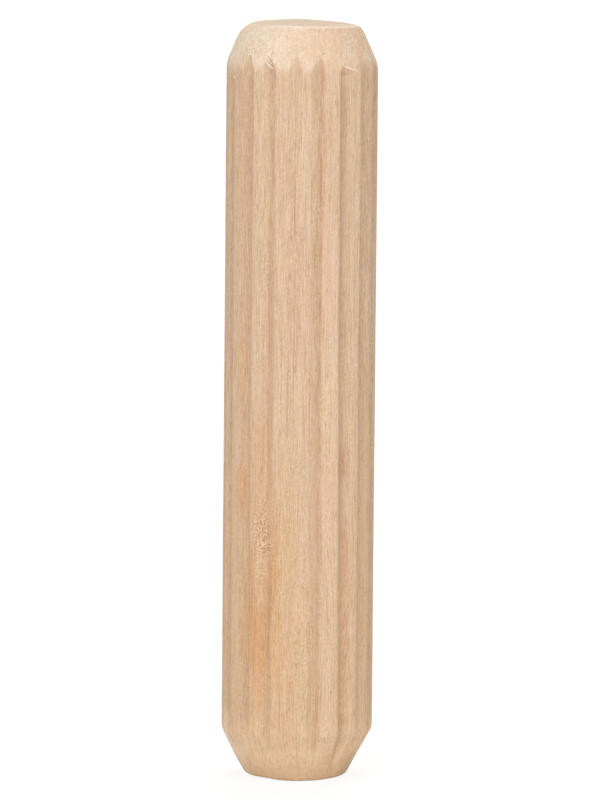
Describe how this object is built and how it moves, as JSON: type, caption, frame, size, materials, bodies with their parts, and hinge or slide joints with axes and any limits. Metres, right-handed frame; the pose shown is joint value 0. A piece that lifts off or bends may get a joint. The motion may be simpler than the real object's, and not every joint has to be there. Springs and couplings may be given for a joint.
{
  "type": "dowel pin",
  "caption": "Straight fluted wooden dowel pin, chamfered at both ends, for gluing into matching drilled holes to join two panels.",
  "frame": {"origin": "middle of the lower end face, on which the pin stands", "axes": "+Z along the pin, from the lower end to the upper end; +X and +Y square to it, with a flute 5.3 degrees round from +X"},
  "size_m": [0.008, 0.008, 0.04],
  "materials": {
    "beech": "bare machined wood, matt, with fine lengthwise grain"
  },
  "bodies": {
    "root": {"dowel_pin": "beech"}
  },
  "joints": []
}
